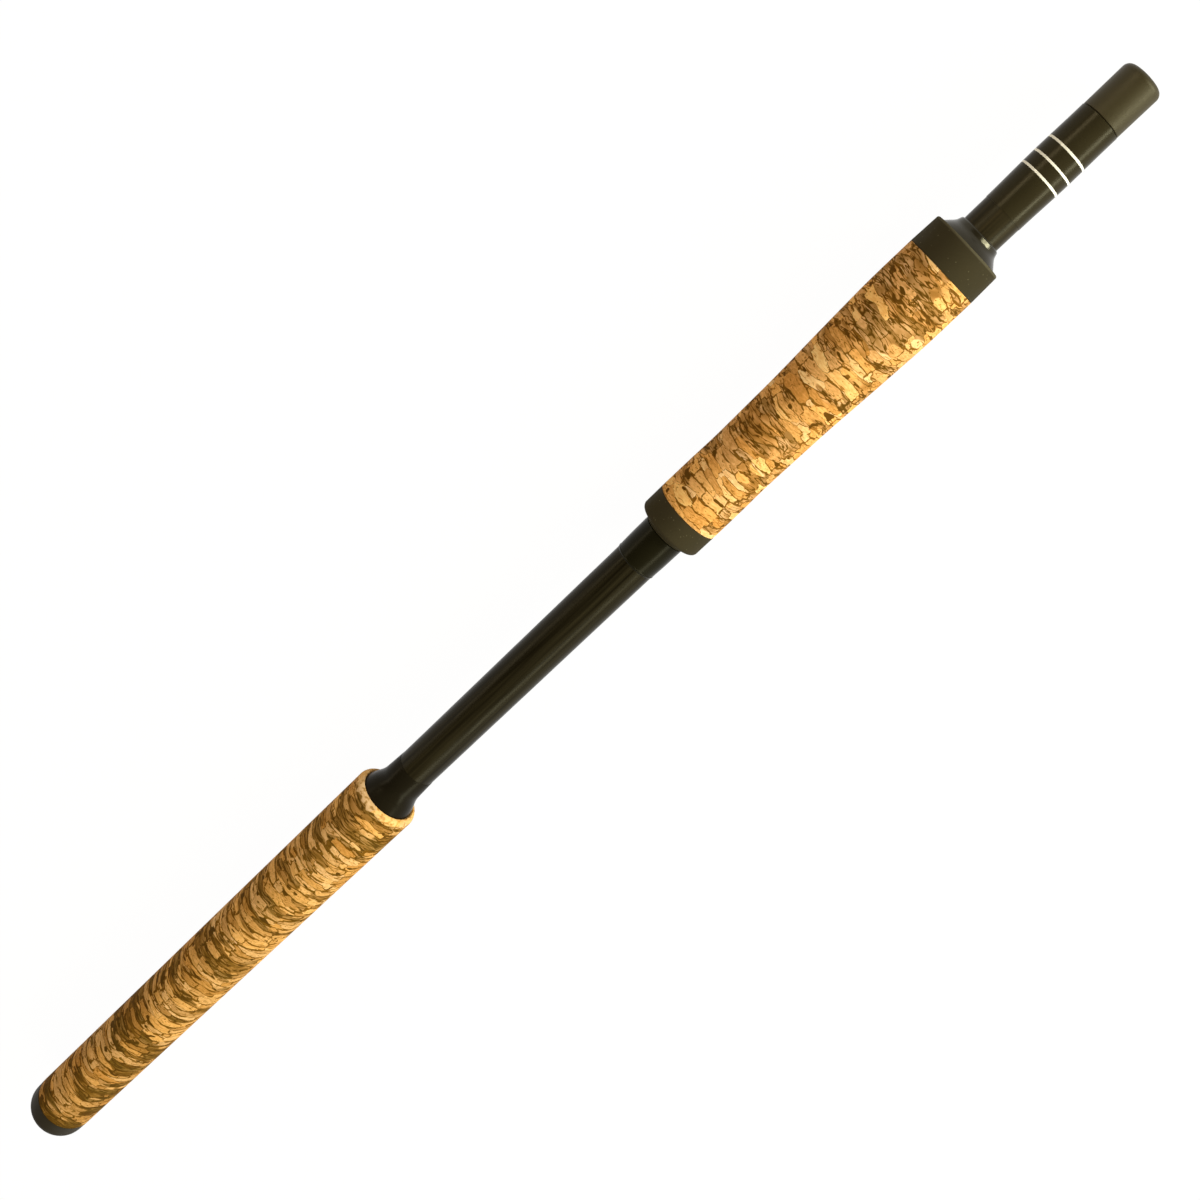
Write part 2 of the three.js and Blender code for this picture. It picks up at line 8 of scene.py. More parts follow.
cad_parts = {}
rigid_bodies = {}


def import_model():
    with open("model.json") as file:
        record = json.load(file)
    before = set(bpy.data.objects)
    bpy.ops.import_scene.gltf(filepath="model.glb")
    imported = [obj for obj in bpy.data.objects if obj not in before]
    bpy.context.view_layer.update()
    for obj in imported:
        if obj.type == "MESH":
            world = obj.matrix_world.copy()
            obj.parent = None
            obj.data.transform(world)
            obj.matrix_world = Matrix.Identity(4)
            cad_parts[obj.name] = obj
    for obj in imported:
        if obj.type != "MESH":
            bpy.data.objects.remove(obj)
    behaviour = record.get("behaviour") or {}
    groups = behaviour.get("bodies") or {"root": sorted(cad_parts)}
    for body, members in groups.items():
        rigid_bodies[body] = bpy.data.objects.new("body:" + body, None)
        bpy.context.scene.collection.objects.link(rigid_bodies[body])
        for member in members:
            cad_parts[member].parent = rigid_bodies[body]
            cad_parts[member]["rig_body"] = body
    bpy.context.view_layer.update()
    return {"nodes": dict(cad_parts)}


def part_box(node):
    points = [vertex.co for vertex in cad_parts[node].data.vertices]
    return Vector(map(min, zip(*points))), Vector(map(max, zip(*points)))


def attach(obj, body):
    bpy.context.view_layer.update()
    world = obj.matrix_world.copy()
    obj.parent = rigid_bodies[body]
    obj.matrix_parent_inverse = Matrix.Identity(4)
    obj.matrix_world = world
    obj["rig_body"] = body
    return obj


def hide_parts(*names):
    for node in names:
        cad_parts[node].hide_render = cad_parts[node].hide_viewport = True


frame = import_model()

# Camera
# The rod is seen from above, a little over half a metre from its axis and beyond the short grip, with a
# lens of moderate angle. It crosses the picture from lower left to upper right, the tip end nearer.
MM = 0.001
AXIS_HEIGHT = 18.75 * MM
EYE_PLACE = 297.4 * MM
EYE_DISTANCE = 558.8 * MM
EYE_SIDE = -1.8 * MM
EYE_TILT = math.radians(20.29)
ROD_SLANT = math.radians(43.4)
LENS = 36.69

gaze = Vector((-math.sin(EYE_TILT), 0, -math.cos(EYE_TILT)))
along = Vector((math.cos(EYE_TILT), 0, -math.sin(EYE_TILT)))
across = (-gaze).cross(along)
right = along * math.cos(ROD_SLANT) - across * math.sin(ROD_SLANT)
up = along * math.sin(ROD_SLANT) + across * math.cos(ROD_SLANT)
eye = Vector((EYE_PLACE, EYE_SIDE, AXIS_HEIGHT + EYE_DISTANCE))
camera_lens = bpy.data.cameras.new("camera")
camera_lens.lens = LENS
camera_lens.sensor_width = 36
camera_lens.clip_start = 0.01
camera_lens.clip_end = 50
camera = bpy.data.objects.new("camera", camera_lens)
camera.matrix_world = Matrix.Translation(eye) @ Matrix((right, up, -gaze)).transposed().to_4x4()
bpy.context.scene.collection.objects.link(camera)
bpy.context.scene.camera = camera
bpy.context.scene.view_settings.view_transform = "Standard"


# Floor
# A plain white sheet that the rod lies on. It shows as white and keeps a soft part of the rod's shadow.
def put(where, kind, inputs=None, **settings):
    """Adds a shader node to a tree, which is given itself or by one of its sockets. Sets or links the node's
    inputs. A colour is given without its alpha."""
    node = where.id_data.nodes.new("ShaderNode" + kind)
    for name, value in settings.items():
        setattr(node, name, value)
    for label, value in (inputs or {}).items():
        socket = node.inputs[label]
        if isinstance(value, bpy.types.NodeSocket):
            where.id_data.links.new(value, socket)
        elif socket.type == "RGBA":
            socket.default_value = (*value, 1)
        else:
            socket.default_value = value
    return node


def both_of(a, b, operation="MULTIPLY"):
    """One value from two, of which at least one is a socket."""
    where = a if isinstance(a, bpy.types.NodeSocket) else b
    return put(where, "Math", {0: a, 1: b}, operation=operation).outputs[0]


def empty_tree(owner):
    """Turns nodes on for a material or world and clears them."""
    owner.use_nodes = True
    owner.node_tree.nodes.clear()
    return owner.node_tree


def seen_itself(tree):
    """1 where the camera, a mirror or a glass shows the surface, and 0 where it only lights other things."""
    path = put(tree, "LightPath")
    seen = both_of(path.outputs["Is Camera Ray"], path.outputs["Is Glossy Ray"], "MAXIMUM")
    return both_of(seen, path.outputs["Is Transmission Ray"], "MAXIMUM")


WHITE = (1, 1, 1)
FLOOR_SIZE = 12
FLOOR_TONE = (0.45, 0.42, 0.36)
GLOW_STRENGTH = 1.08
GLOW_SHARE = 0.9

sheet_mesh = bpy.data.meshes.new("floor")
sheet = bmesh.new()
bmesh.ops.create_grid(sheet, x_segments=1, y_segments=1, size=FLOOR_SIZE / 2)
sheet.to_mesh(sheet_mesh)
sheet.free()
floor = bpy.data.objects.new("floor", sheet_mesh)
bpy.context.scene.collection.objects.link(floor)
floor_paint = bpy.data.materials.new("white_floor")
tree = empty_tree(floor_paint)
share = both_of(seen_itself(tree), GLOW_SHARE)
matt = put(tree, "BsdfDiffuse", {"Color": FLOOR_TONE})
glow = put(tree, "Emission", {"Color": WHITE, "Strength": GLOW_STRENGTH})
both = put(tree, "MixShader", {0: share, 1: matt.outputs[0], 2: glow.outputs[0]})
put(tree, "OutputMaterial", {"Surface": both.outputs[0]})
floor.data.materials.append(floor_paint)


# Lamps and room
# A low window beside the tip half, towards the lower right of the picture, a dimmer one beside the butt,
# two weak lamps on the other side and a tall narrow one beyond the tip. The room is faintly warm, lighter
# on the windows' side, and has white paper hung round it low down.
def soft_lamp(name, place, aim, width, height, radiance, color, lean=0):
    """Rectangular lamp that faces a point and may lean to a side. A mirror shows it with its radiance."""
    lamp = bpy.data.lights.new(name, "AREA")
    lamp.shape = "RECTANGLE"
    lamp.size = width
    lamp.size_y = height
    lamp.color = color
    lamp.energy = radiance * width * height * math.pi
    holder = bpy.data.objects.new(name, lamp)
    holder.location = place
    holder.rotation_mode = "QUATERNION"
    facing = (Vector(aim) - Vector(place)).to_track_quat("-Z", "Y")
    holder.rotation_quaternion = facing @ Quaternion((0, 0, 1), math.radians(lean))
    holder.visible_camera = False
    bpy.context.scene.collection.objects.link(holder)


def step(value, start, end, low=0.0, high=1.0, **settings):
    """Brings a value from the range between start and end to the one between low and high."""
    return put(value, "MapRange", {0: value, 1: start, 2: end, 3: low, 4: high}, **settings).outputs[0]


DAYLIGHT = (0.96, 1, 0.87)
WARM_LIGHT = (1, 0.9, 0.72)
WALL_TONE = (1, 0.89, 0.68)
soft_lamp("window", (0.7, -1.1, 0.44), (0.2, 0, 0.02), 1.15, 0.3, 12.5, DAYLIGHT)
soft_lamp("butt_window", (-0.6, -1.05, 0.72), (-0.15, 0, 0.02), 1.1, 0.3, 6.6, DAYLIGHT)
soft_lamp("far_lamp", (0.5, 0.75, 0.95), (0.25, 0, 0.02), 0.8, 0.26, 7, WARM_LIGHT)
soft_lamp("far_butt_lamp", (-0.5, 0.95, 0.62), (-0.15, 0, 0.02), 0.9, 0.22, 2.4, WARM_LIGHT)
soft_lamp("tip_lamp", (1.178, -0.8, 0.6), (0.32, 0, 0.03), 0.13, 1.02, 27, DAYLIGHT, lean=-32.6)

room = bpy.data.worlds.new("room")
bpy.context.scene.world = room
tree = empty_tree(room)
direction = put(tree, "SeparateXYZ", {0: put(tree, "TexCoord").outputs["Generated"]}).outputs
walls = put(tree, "Background", {"Color": WALL_TONE, "Strength": step(direction["Y"], -0.8, 0.8, 0.56, 0.16)})
paper = put(tree, "Background", {"Color": WHITE, "Strength": 1})
low_down = both_of(seen_itself(tree), step(direction["Z"], 0.46, 0.56, 1, 0))
both = put(tree, "MixShader", {0: low_down, 1: walls.outputs[0], 2: paper.outputs[0]})
put(tree, "OutputWorld", {"Surface": both.outputs[0]})


# Butt ring
# Soft black rubber ring with a large round edge, moulded in one and glued to the end of the long grip.
# Its open middle shows the screw cap.
TURN_STEPS = 96
MERGE = 0.002 * MM
SHARP = math.radians(34)


def arc(x, radius, size, start, end, steps=8):
    """Points of a rounded edge about [x, radius]. 0 degrees is towards the tip and 90 outwards."""
    points = []
    for i in range(steps + 1):
        angle = math.radians(start + (end - start) * i / steps)
        points.append((x + size * math.cos(angle), radius + size * math.sin(angle)))
    return points


def turned(outline, start, steps=TURN_STEPS):
    """Shape turned about the rod's axis from an outline of [x, radius] in millimetres, which begins at start.
    An outline that keeps off the axis is closed on itself."""
    shape = bmesh.new()
    corners = [shape.verts.new((start + x * MM, 0, AXIS_HEIGHT + radius * MM)) for x, radius in outline]
    if outline[0][1] > 0:
        corners.append(corners[0])
    lines = [shape.edges.new(pair) for pair in zip(corners, corners[1:])]
    bmesh.ops.spin(
        shape, geom=shape.verts[:] + lines, cent=(0, 0, AXIS_HEIGHT), axis=(1, 0, 0),
        angle=2 * math.pi, steps=steps, use_merge=True,
    )
    bmesh.ops.remove_doubles(shape, verts=shape.verts, dist=MERGE)
    bmesh.ops.recalc_face_normals(shape, faces=shape.faces)
    return shape


def finished(shape, name, material):
    """Makes a shape an object of one material, smooth but for its sharp edges."""
    mesh = bpy.data.meshes.new(name)
    shape.to_mesh(mesh)
    shape.free()
    mesh.shade_smooth()
    mesh.set_sharp_from_angle(angle=SHARP)
    mesh.materials.append(material)
    made = bpy.data.objects.new(name, mesh)
    bpy.context.scene.collection.objects.link(made)
    return made


def fit(shape, name, material, node):
    """Makes a shape the finished piece that stands for a solid, and lets it ride where that solid rides."""
    made = finished(shape, name, material)
    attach(made, frame["nodes"][node]["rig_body"])
    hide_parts(node)


def foot(node):
    """Where a solid begins along the rod."""
    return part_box(node)[0].x


def new_group(name, inputs, outputs):
    """Empty node group. Inputs are {name: socket kind}, and every output is a plain value."""
    group = bpy.data.node_groups.new(name, "ShaderNodeTree")
    for label, kind in inputs.items():
        group.interface.new_socket(label, in_out="INPUT", socket_type="NodeSocket" + kind)
    for label in outputs:
        group.interface.new_socket(label, in_out="OUTPUT", socket_type="NodeSocketFloat")
    return group, group.nodes.new("NodeGroupInput").outputs


def close_group(group, **results):
    """Links the results to the group's outputs."""
    end = group.nodes.new("NodeGroupOutput")
    for label, socket in results.items():
        group.links.new(socket, end.inputs[label])


# Worn and handled patches: slow changes of tone and gloss, and a fine skin of moulding or dust
wear, given = new_group(
    "handling",
    {"Vector": "Vector", "Patch": "Float", "Grain": "Float", "Gloss": "Float", "Dull": "Float"},
    ("Tone", "Roughness", "Height"),
)
slow = put(wear, "TexNoise", {"Vector": given["Vector"], "Scale": given["Patch"], "Detail": 3}).outputs[0]
fine = put(wear, "TexNoise", {"Vector": given["Vector"], "Scale": given["Grain"], "Detail": 2}).outputs[0]
close_group(wear, Tone=slow, Roughness=step(slow, 0.3, 0.7, given["Gloss"], given["Dull"]), Height=fine)


def new_material(name):
    """Empty material, and the place on the piece in metres, from which its nodes start."""
    material = bpy.data.materials.new(name)
    return material, put(empty_tree(material), "TexCoord").outputs["Object"]


def worn(spot, patch, grain, gloss, dull):
    """Tone, Roughness and Height of a worn skin. Gloss and dull are its least and greatest roughness."""
    inputs = {"Vector": spot, "Patch": patch, "Grain": grain, "Gloss": gloss, "Dull": dull}
    return put(spot, "Group", inputs, node_tree=wear).outputs


def between(share, first, second, **settings):
    """Colour between two. A Mix node takes colours by its inputs 6 and 7, and values by 2 and 3."""
    return put(share, "Mix", {0: share, 6: first, 7: second}, data_type="RGBA", **settings).outputs[2]


def raised(height, distance, strength=1.0, over=None):
    """Normal of a skin whose height is in millimetres. It may lie over a coarser one."""
    inputs = {"Height": height, "Distance": distance * MM, "Strength": strength}
    if over is not None:
        inputs["Normal"] = over
    return put(height, "Bump", inputs).outputs[0]


def surface(color, roughness, normal, others=None):
    """Ends a material with its shader, whose other inputs are given by their names."""
    inputs = {"Base Color": color, "Roughness": roughness, "Normal": normal, **(others or {})}
    shader = put(color, "BsdfPrincipled", inputs)
    put(color, "OutputMaterial", {"Surface": shader.outputs[0]})


GLOSS_TINT = (1, 0.9, 0.62)


def black_mould(name, dark, light, gloss, dull, grain, height, specular):
    """Moulded black rubber or plastic: two near tones in patches, and a fine grained skin."""
    material, spot = new_material(name)
    skin = worn(spot, 70, grain, gloss, dull)
    surface(
        between(skin["Tone"], dark, light), skin["Roughness"], raised(skin["Height"], height),
        {"Specular IOR Level": specular, "Specular Tint": GLOSS_TINT},
    )
    return material


GRIP_RADIUS = 18.75
CAP_SEAT = 11.7
INSERT_SEAT = 12.88
butt_rubber = black_mould(
    "butt_rubber", (0.016, 0.012, 0.0052), (0.023, 0.017, 0.0075),
    gloss=0.42, dull=0.6, grain=1400, height=0.03, specular=0.08,
)
length, rounding, shoulder, floor_depth = 14.1, 6, 18.5, 2
ring = turned(
    [(0, CAP_SEAT), *arc(rounding, shoulder - rounding, rounding, 180, 92, 14),
     (length - 0.2, GRIP_RADIUS - 0.01), (length, GRIP_RADIUS - 0.15), (length, INSERT_SEAT),
     (floor_depth, INSERT_SEAT), (floor_depth, CAP_SEAT)],
    foot("butt_trim_ring"),
)
fit(ring, "butt_ring", butt_rubber, "butt_trim_ring")


# Threaded insert
# Black anodised aluminium sleeve with fine rings left by the lathe, and patches where the black has
# thinned. It holds the cap's thread and is bonded over the end of the tube.
anodised, spot = new_material("black_anodised")
skin = worn(spot, 160, 2500, gloss=0.26, dull=0.4)
centred = put(spot, "Mapping", {"Vector": spot, "Location": (0, 0, -AXIS_HEIGHT)}).outputs[0]
lathe = put(
    spot, "TexWave", {"Vector": centred, "Scale": 700, "Distortion": 0.6, "Detail": 1},
    wave_type="RINGS", rings_direction="X",
)
surface(
    between(skin["Tone"], (0.008, 0.008, 0.008), (0.018, 0.0175, 0.017)), skin["Roughness"],
    raised(lathe.outputs[1], 0.015, 0.6), {"Metallic": 0.6, "Specular IOR Level": 0.3},
)

TUBE_SEAT = 10.98
length, sleeve_radius = 28.5, 11.98
head_length, head_radius = 12.4, 12.8
thread_radius, recess = 10.3, 2.9
insert = turned(
    [(0, 12.0), (0, head_radius), (head_length, head_radius), (head_length, sleeve_radius),
     (length, sleeve_radius), (length, TUBE_SEAT), (head_length, TUBE_SEAT), (head_length, thread_radius),
     (recess, thread_radius), (recess, CAP_SEAT), (0.3, CAP_SEAT)],
    foot("butt_thread_insert"),
)
fit(insert, "butt_insert", anodised, "butt_thread_insert")


# Butt tube
# Straight carbon tube in deep gloss black lacquer, polished, so that lamps lie along it in soft bands.
# It is bonded through the long grip, and its foot sits in the insert.
def lacquer(name, dark, light, gloss, dull, specular, winding=0, carbon=False):
    """Black lacquer: over a moulded cone, over a winding of thread, whose turns just show as ripples of a
    height in millimetres, or over carbon, whose fibres show as faint lines along it."""
    material, spot = new_material(name)
    skin = worn(spot, 55, 420, gloss, dull)
    share = skin["Tone"]
    if carbon:
        drawn = put(spot, "Mapping", {"Vector": spot, "Scale": (14, 620, 620)}).outputs[0]
        fibre = put(spot, "TexNoise", {"Vector": drawn, "Scale": 1, "Detail": 2}).outputs[0]
        share = step(fibre, 0.36, 0.64, -0.35, 1.35, clamp=False)
    turns = None
    if winding:
        ripple = put(
            spot, "TexWave",
            {"Vector": spot, "Scale": 420, "Distortion": 1.2, "Detail": 1, "Detail Scale": 3},
            wave_type="BANDS", bands_direction="X",
        )
        turns = raised(ripple.outputs[1], winding)
    surface(
        between(share, dark, light, clamp_factor=False), skin["Roughness"],
        raised(skin["Height"], 0.004, over=turns),
        {"Specular IOR Level": specular, "Specular Tint": GLOSS_TINT},
    )
    return material


OVERLAP = 72
butt_lacquer = lacquer(
    "butt_lacquer", (0.011, 0.0085, 0.0036), (0.017, 0.0135, 0.006),
    gloss=0.24, dull=0.34, specular=0.08, carbon=True,
)
length, radius, bore, mouth_bore = 533.4, 10.9, 9.95, 9.75
butt_tube = turned(
    [(0, bore), (0, radius), (length, radius), (length, mouth_bore), (length - OVERLAP, bore)],
    foot("butt_tube"),
)
fit(butt_tube, "butt_blank", butt_lacquer, "butt_tube")


# Long grip
# Rings of burl cork pressed from bark and cork flakes, threaded on the tube and sanded round together.
# The flakes lie flat in each ring, so on the outside they run round the grip as long curved streaks.
burl, given = new_group(
    "burl_cork",
    {"Vector": "Vector", "Flake": "Vector", "Thread": "Vector", "Bark": "Float", "Bend": "Float",
     "Seam": "Float", "Hair": "Float", "Shade": "Float"},
    ("Tone", "Grey", "Height", "Dirt"),
)


def bent(vector, size, reach):
    """Shifts a place in millimetres by noise of that size."""
    noise = put(burl, "TexNoise", {"Vector": vector, "Scale": 1 / size, "Detail": 1})
    middle = put(burl, "VectorMath", {0: noise.outputs[1], 1: (0.5, 0.5, 0.5)}, operation="SUBTRACT")
    shift = put(burl, "VectorMath", {0: middle.outputs[0], 1: reach}, operation="MULTIPLY")
    return put(burl, "VectorMath", {0: vector, 1: shift.outputs[0]}, operation="ADD").outputs[0]


def drawn_out(vector, size, detail=1.0):
    """Noise drawn out to a size in millimetres along each axis."""
    scaled = put(burl, "VectorMath", {0: vector, 1: size}, operation="DIVIDE")
    return put(burl, "TexNoise", {"Vector": scaled.outputs[0], "Scale": 1, "Detail": detail}).outputs[0]


def off_middle(noise):
    """How far noise is from its middle value, which it has on thin winding lines."""
    return put(burl, "Math", {0: both_of(noise, 0.5, "SUBTRACT")}, operation="ABSOLUTE").outputs[0]


def flake_at(vector):
    """Random values of the flake that holds a place. Flakes are blunt plates, thin along the rod."""
    scaled = put(burl, "VectorMath", {0: vector, 1: given["Flake"]}, operation="DIVIDE")
    cell = put(
        burl, "TexVoronoi", {"Vector": scaled.outputs[0], "Scale": 1, "Randomness": 0.8},
        feature="F1", distance="CHEBYCHEV",
    )
    return put(burl, "SeparateColor", {0: cell.outputs["Color"]}).outputs


on_axis, to_mm = (0, 0, -AXIS_HEIGHT / MM), (1 / MM,) * 3
centred = put(burl, "Mapping", {"Vector": given["Vector"], "Location": on_axis, "Scale": to_mm}).outputs[0]
reach = put(burl, "VectorMath", {0: (9, 5, 5), "Scale": given["Bend"]}, operation="SCALE").outputs[0]
curved = bent(bent(centred, 22, reach), 6, (1.0, 1.4, 1.4))
crumbled = bent(curved, 1.3, (0.5, 0.9, 0.9))
flake = flake_at(crumbled)

# A seam opens where a place a little further on belongs to another flake
opening = both_of(step(drawn_out(curved, (3, 8, 8)), 0.4, 0.6, 0.13, 1), given["Seam"])
gap = put(burl, "VectorMath", {0: (1, 0.8, 0.8), "Scale": opening}, operation="SCALE").outputs[0]
beside = put(burl, "VectorMath", {0: crumbled, 1: gap}, operation="ADD").outputs[0]
same = put(burl, "Math", {0: flake[0], 1: flake_at(beside)[0], 2: 0.001}, operation="COMPARE").outputs[0]
seam = both_of(1.0, same, "SUBTRACT")

# Bark lies between the flakes as bundles of threads, with whole flakes caught in it
threads = off_middle(drawn_out(bent(curved, 2.4, (0.9, 0, 0)), given["Thread"]))
zone = drawn_out(curved, (8, 28, 28))
zone_from = put(burl, "Math", {0: given["Bark"], 1: -0.3, 2: 0.65}, operation="MULTIPLY_ADD").outputs[0]
in_zone = step(zone, zone_from, both_of(zone_from, 0.02, "ADD"))
caught = step(flake[1], 0.68, 0.69, 1, 0)
blotch = step(drawn_out(curved, (4, 8, 8)), 0.67, 0.7)
bark = both_of(both_of(in_zone, caught), blotch, "MAXIMUM")

# Stray threads as fine as hairs lie along the flakes too
strand = off_middle(drawn_out(crumbled, (2.6, 16, 16)))
tufts = both_of(drawn_out(curved, (4, 7, 7)), given["Hair"], "ADD")
hair = both_of(step(strand, 0.008, 0.02, 1, 0), step(tufts, 0.47, 0.52))

fibres = step(drawn_out(curved, (0.8, 2.4, 2.4), 2), 0.3, 0.7, -0.11, 0.11)
flake_tone = both_of(step(flake[0], 0, 1, 0.54, 0.87), fibres, "ADD")
flake_tone = both_of(flake_tone, step(hair, 0, 1, 1, 0.45))
thread_tone = both_of(step(drawn_out(curved, (3, 9, 9)), 0.35, 0.65, 0.33, 0.66), given["Shade"])
bark_tone = both_of(both_of(step(threads, 0.016, 0.055), thread_tone), both_of(blotch, 0.5), "SUBTRACT")
pits = step(drawn_out(crumbled, (0.8, 1.5, 1.5)), 0.66, 0.7, 1, 0.4)
tone = put(burl, "Mix", {0: bark, 2: flake_tone, 3: bark_tone}, data_type="FLOAT").outputs[0]
tone = both_of(both_of(tone, pits), step(seam, 0, 1, 1, 0.26))
greyness = both_of(step(flake[2], 0, 1, 0.08, 0.76), both_of(bark, 0.36), "ADD")
level = both_of(1.0, both_of(seam, both_of(bark, 0.6), "MAXIMUM"), "SUBTRACT")
# Dirt is the bark-zone mask that weights the long grip's painted shade
close_group(burl, Tone=tone, Grey=greyness, Height=level, Dirt=step(zone, 0.38, 0.6))


def ramp(value, stops):
    """Colour ramp with stops of [place, colour]."""
    node = put(value, "ValToRGB", {0: value})
    row = node.color_ramp.elements
    while len(row) < len(stops):
        row.new(0.5)
    for element, (place, color) in zip(row, stops):
        element.position = place
        element.color = (*color, 1)
    return node.outputs[0]


def with_cut_face(tone, spot, along_rod, face):
    """Tone of a cork whose end, from a place along the rod on, is cut across the flakes and shows their pale
    sides."""
    ragged = put(spot, "TexNoise", {"Vector": spot, "Scale": 240, "Detail": 1}).outputs[0]
    ragged = put(spot, "Math", {0: ragged, 1: 5 * MM, 2: along_rod}, operation="MULTIPLY_ADD").outputs[0]
    on_face = step(ragged, face + 2 * MM, face + 2.6 * MM, 0, 0.76)
    speck = put(spot, "TexNoise", {"Vector": spot, "Scale": 430, "Detail": 2.5}).outputs[0]
    pale = step(speck, 0.36, 0.48, 0.5, 1)
    return put(spot, "Mix", {0: on_face, 2: tone, 3: pale}, data_type="FLOAT").outputs[0]


def with_painted_butt_shade(tone, shade_weight, along_rod, start, end):
    """Tone of a cork darkened by painted shade, for light that falls off towards the butt: most at the start
    of a stretch along the rod and where its bark is, and not at all at the end."""
    # Painted shade: the tone is dimmed towards the start of the stretch, and more where the bark zones are
    shade_dimming = step(along_rod, start, end, 0.88, 1)
    painted_shade = both_of(step(along_rod, start, end, -0.2, 0), shade_weight)
    return put(tone, "Math", {0: tone, 1: shade_dimming, 2: painted_shade}, operation="MULTIPLY_ADD").outputs[0]


# The colours by which a flake's own tone is multiplied, from orange flakes to grey ones
TINGES = [
    (0, (1.03, 0.91, 0.64)), (0.25, (1.01, 0.97, 0.82)), (0.5, (1, 1, 1)), (0.75, (0.98, 1.03, 1.2)),
    (1, (0.95, 1.06, 1.42)),
]


def cork(name, grain, stops, shaded_stretch=None, face=None):
    """Sanded burl cork, unsealed and dry to the touch. Grain gives the cork group's inputs, with the sizes of
    flakes and threads in millimetres. Shaded stretch is the stretch along the rod darkened by painted shade,
    most at its start, and face is where an end cut across the flakes begins."""
    material, spot = new_material(name)
    burl_cork = put(spot, "Group", {"Vector": spot, **grain}, node_tree=burl).outputs
    along_rod = put(spot, "SeparateXYZ", {0: spot}).outputs[0]
    tone, height = burl_cork["Tone"], burl_cork["Height"]
    if face is not None:
        tone = with_cut_face(tone, spot, along_rod, face)
    if shaded_stretch is not None:
        tone = with_painted_butt_shade(tone, burl_cork["Dirt"], along_rod, *shaded_stretch)
    tinged = put(
        spot, "Mix", {0: 1.0, 6: ramp(tone, stops), 7: ramp(burl_cork["Grey"], TINGES)},
        data_type="RGBA", blend_type="MULTIPLY",
    ).outputs[2]
    surface(tinged, step(height, 0, 1, 0.85, 0.6), raised(height, 0.1, 0.7), {"Specular IOR Level": 0.06})
    return material


# The long grip gets painted shade over its first 240 mm from the butt, darkest at the butt
low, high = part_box("lower_grip")
long_cork = cork(
    "long_grip_cork",
    {"Flake": (4.8, 17, 17), "Thread": (1.4, 13, 13), "Bark": 0.55, "Bend": 0.8, "Seam": 1.2, "Hair": 0.08,
     "Shade": 0.8},
    [(0, (0.096, 0.041, 0.002)), (0.19, (0.188, 0.085, 0.007)), (0.385, (0.375, 0.177, 0.034)),
     (0.525, (0.49, 0.239, 0.06)), (0.72, (0.695, 0.374, 0.118)), (0.87, (0.83, 0.49, 0.195)),
     (0.98, (0.89, 0.575, 0.255))],
    shaded_stretch=(low.x, low.x + 240 * MM), face=high.x - 3 * MM,
)
length, rim = 323.6, 3.4
check_seat, check_depth = 15.58, 3
sleeve_seat, sleeve_depth = 12.06, 16.5
lower_grip = turned(
    [(0, INSERT_SEAT), (0, GRIP_RADIUS - 0.15), (0.2, GRIP_RADIUS),
     *[(length * i / 12, GRIP_RADIUS) for i in range(1, 12)],
     *arc(length - rim, GRIP_RADIUS - rim, rim, 90, 15, 10), (length - 0.6, check_seat),
     (length - check_depth, check_seat), (length - check_depth, TUBE_SEAT), (sleeve_depth, TUBE_SEAT),
     (sleeve_depth, sleeve_seat), (0.4, sleeve_seat), (0.4, INSERT_SEAT)],
    foot("lower_grip"),
)
fit(lower_grip, "long_grip", long_cork, "lower_grip")


# Flared check
# Glossy black cone. Its foot sits in the cork's rim, and it runs out in a long fine taper on the tube.
def hollow_curve(start, corner, end, steps=8):
    """Points of a hollow that bends towards a corner."""
    points = []
    for i in range(steps + 1):
        t = i / steps
        points.append(tuple(
            (1 - t) ** 2 * a + 2 * t * (1 - t) * b + t * t * c for a, b, c in zip(start, corner, end)
        ))
    return points


CHECK_RADIUS = 15.5
flare_lacquer = lacquer(
    "flare_lacquer", (0.007, 0.0055, 0.003), (0.012, 0.0095, 0.005), gloss=0.24, dull=0.32, specular=0.07,
)
length = 26.6
flare = turned(
    [(0, TUBE_SEAT), (0, CHECK_RADIUS - 0.2), (0.2, CHECK_RADIUS), (2.2, CHECK_RADIUS),
     (2.6, CHECK_RADIUS - 0.1), *hollow_curve((8.9, 12.93), (11.9, 11.73), (14.9, 11.61)),
     (length - 0.1, TUBE_SEAT + 0.05), (length, TUBE_SEAT)],
    foot("lower_winding_check"),
)
fit(flare, "flared_check", flare_lacquer, "lower_winding_check")


# Mouth band
# Thread wound under lacquer, which thickens towards the mouth and keeps the tube from splitting there. The
# lacquer has gathered to a fine bead at the winding's foot.
band_lacquer = lacquer(
    "band_lacquer", (0.006, 0.0052, 0.002), (0.01, 0.0088, 0.0035),
    gloss=0.22, dull=0.3, specular=0.08, winding=0.006,
)
length, mouth_radius, rounding = 20.5, 11.48, 0.3
band = turned(
    [(0, TUBE_SEAT), (0.05, TUBE_SEAT + 0.04), *arc(0.75, 10.6, 0.64, 135, 50, 8), (1.5, 11.12), (8, 11.36),
     (length - rounding, mouth_radius), (length, mouth_radius - rounding), (length, TUBE_SEAT)],
    foot("butt_mouth_band"),
)
fit(band, "mouth_band", band_lacquer, "butt_mouth_band")


